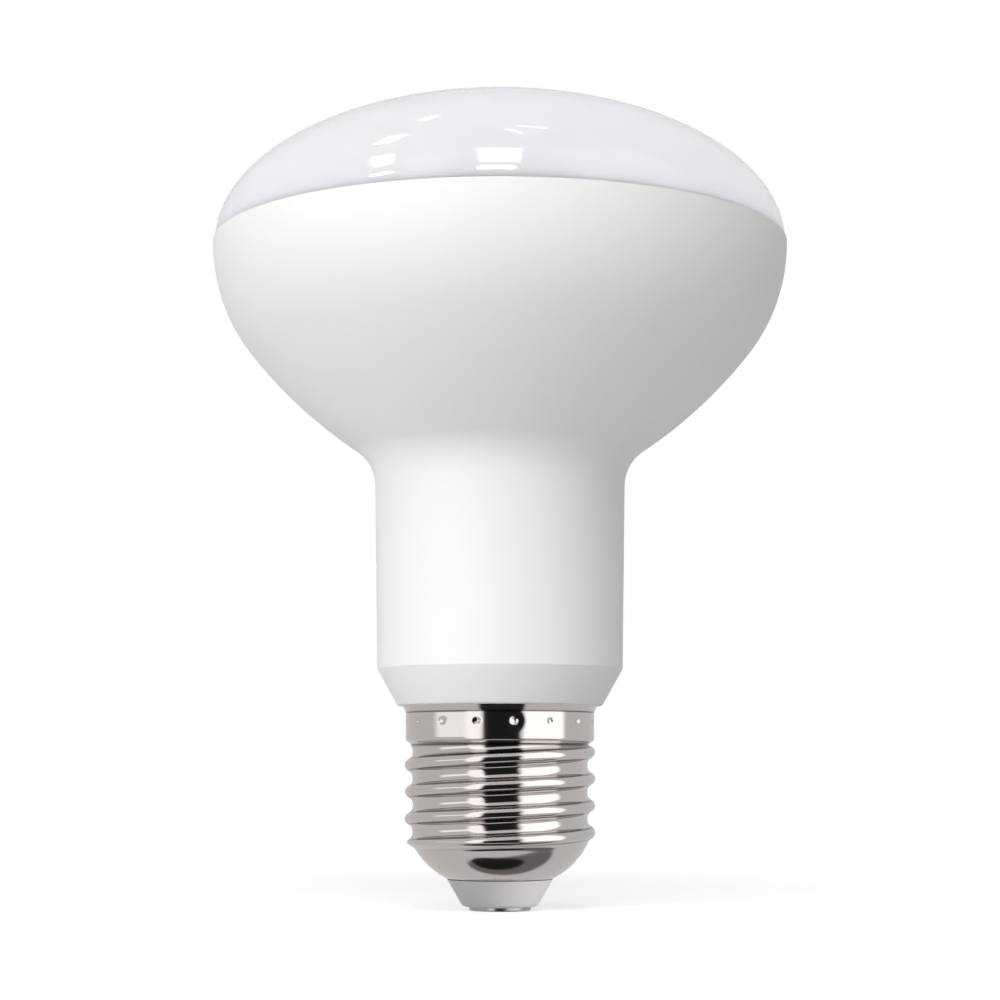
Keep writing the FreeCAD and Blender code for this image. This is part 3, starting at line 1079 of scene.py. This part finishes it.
    def softbox(self, name, way, distance, width, tall, roll):
        """Rectangular softbox that faces the bowl, sized by the angles that it fills."""
        bowl = Vector((0, 0, 90 * MM))
        out = Vector((way[0], -way[1], way[2])).normalized()
        lamp = bpy.data.lights.new(name, "AREA")
        lamp.shape = "RECTANGLE"
        lamp.size = 2 * distance * math.tan(width * DEGREE / 2)
        lamp.size_y = 2 * distance * math.tan(tall * DEGREE / 2)
        piece = bpy.data.objects.new(name, lamp)
        facing = out.to_track_quat("Z", "Y") @ Euler((0, 0, roll * DEGREE)).to_quaternion()
        piece.rotation_euler = facing.to_euler()
        piece.location = bowl + out * distance
        piece.visible_camera = False
        bpy.context.scene.collection.objects.link(piece)
        return piece

    def shine(self, piece, radiance, lit):
        """Give a softbox its radiance and the set of pieces that it lights, or none for all."""
        lamp = piece.data
        lamp.energy = radiance * math.pi * lamp.size * lamp.size_y
        piece.light_linking.receiver_collection = lit

    def camera(self, scene, studio):
        """Camera level with the cap, tilted up to take in the whole lamp."""
        data = bpy.data.cameras.new("camera")
        data.lens = studio.lens
        data.sensor_width = 36
        data.clip_start = 10 * MM
        piece = bpy.data.objects.new("camera", data)
        piece.location = (0, -studio.camera_distance, studio.camera_height)
        piece.rotation_euler = Euler((math.pi / 2 + studio.camera_tilt, 0, 0))
        scene.collection.objects.link(piece)
        scene.camera = piece


class BULB_PT_panel(bpy.types.Panel):
    """Sizes, colours and the steps that build the lamp."""

    bl_idname = "BULB_PT_panel"
    bl_label = "Reflector bulb"
    bl_space_type = "VIEW_3D"
    bl_region_type = "UI"
    bl_category = "Bulb"

    def draw(self, context):
        for name, label, operator in SECTIONS:
            box = self.layout.box()
            box.label(text=label)
            group = getattr(context.scene, name)
            for key in group.bl_rna.properties.keys():
                if key not in ("rna_type", "name"):
                    box.prop(group, key)
            if operator:
                box.operator(operator.bl_idname)


SECTIONS = (
    ("bulb_diffuser", "Diffuser", BULB_OT_diffuser),
    ("bulb_housing", "Housing", BULB_OT_housing),
    ("bulb_cap", "Screw cap", BULB_OT_screw_cap),
    ("bulb_foot", "Insulator and contact", BULB_OT_foot),
    ("bulb_finishes", "Finishes", None),
    ("bulb_studio", "Studio", BULB_OT_stage),
)
GROUPS = {
    "bulb_diffuser": DiffuserSizes,
    "bulb_housing": HousingSizes,
    "bulb_cap": CapSizes,
    "bulb_foot": FootSizes,
    "bulb_finishes": Finishes,
    "bulb_studio": Studio,
}
OPERATORS = (BULB_OT_diffuser, BULB_OT_housing, BULB_OT_screw_cap, BULB_OT_foot, BULB_OT_stage)


def register():
    for name, group in GROUPS.items():
        bpy.utils.register_class(group)
        setattr(bpy.types.Scene, name, PointerProperty(type=group))
    for kind in OPERATORS + (BULB_PT_panel,):
        bpy.utils.register_class(kind)


def unregister():
    for kind in reversed(OPERATORS + (BULB_PT_panel,)):
        bpy.utils.unregister_class(kind)
    for name, group in GROUPS.items():
        delattr(bpy.types.Scene, name)
        bpy.utils.unregister_class(group)


def main():
    register()
    bpy.ops.bulb.diffuser()
    bpy.ops.bulb.housing()
    bpy.ops.bulb.screw_cap()
    bpy.ops.bulb.foot()
    bpy.ops.bulb.stage()


if __name__ == "__main__":
    main()
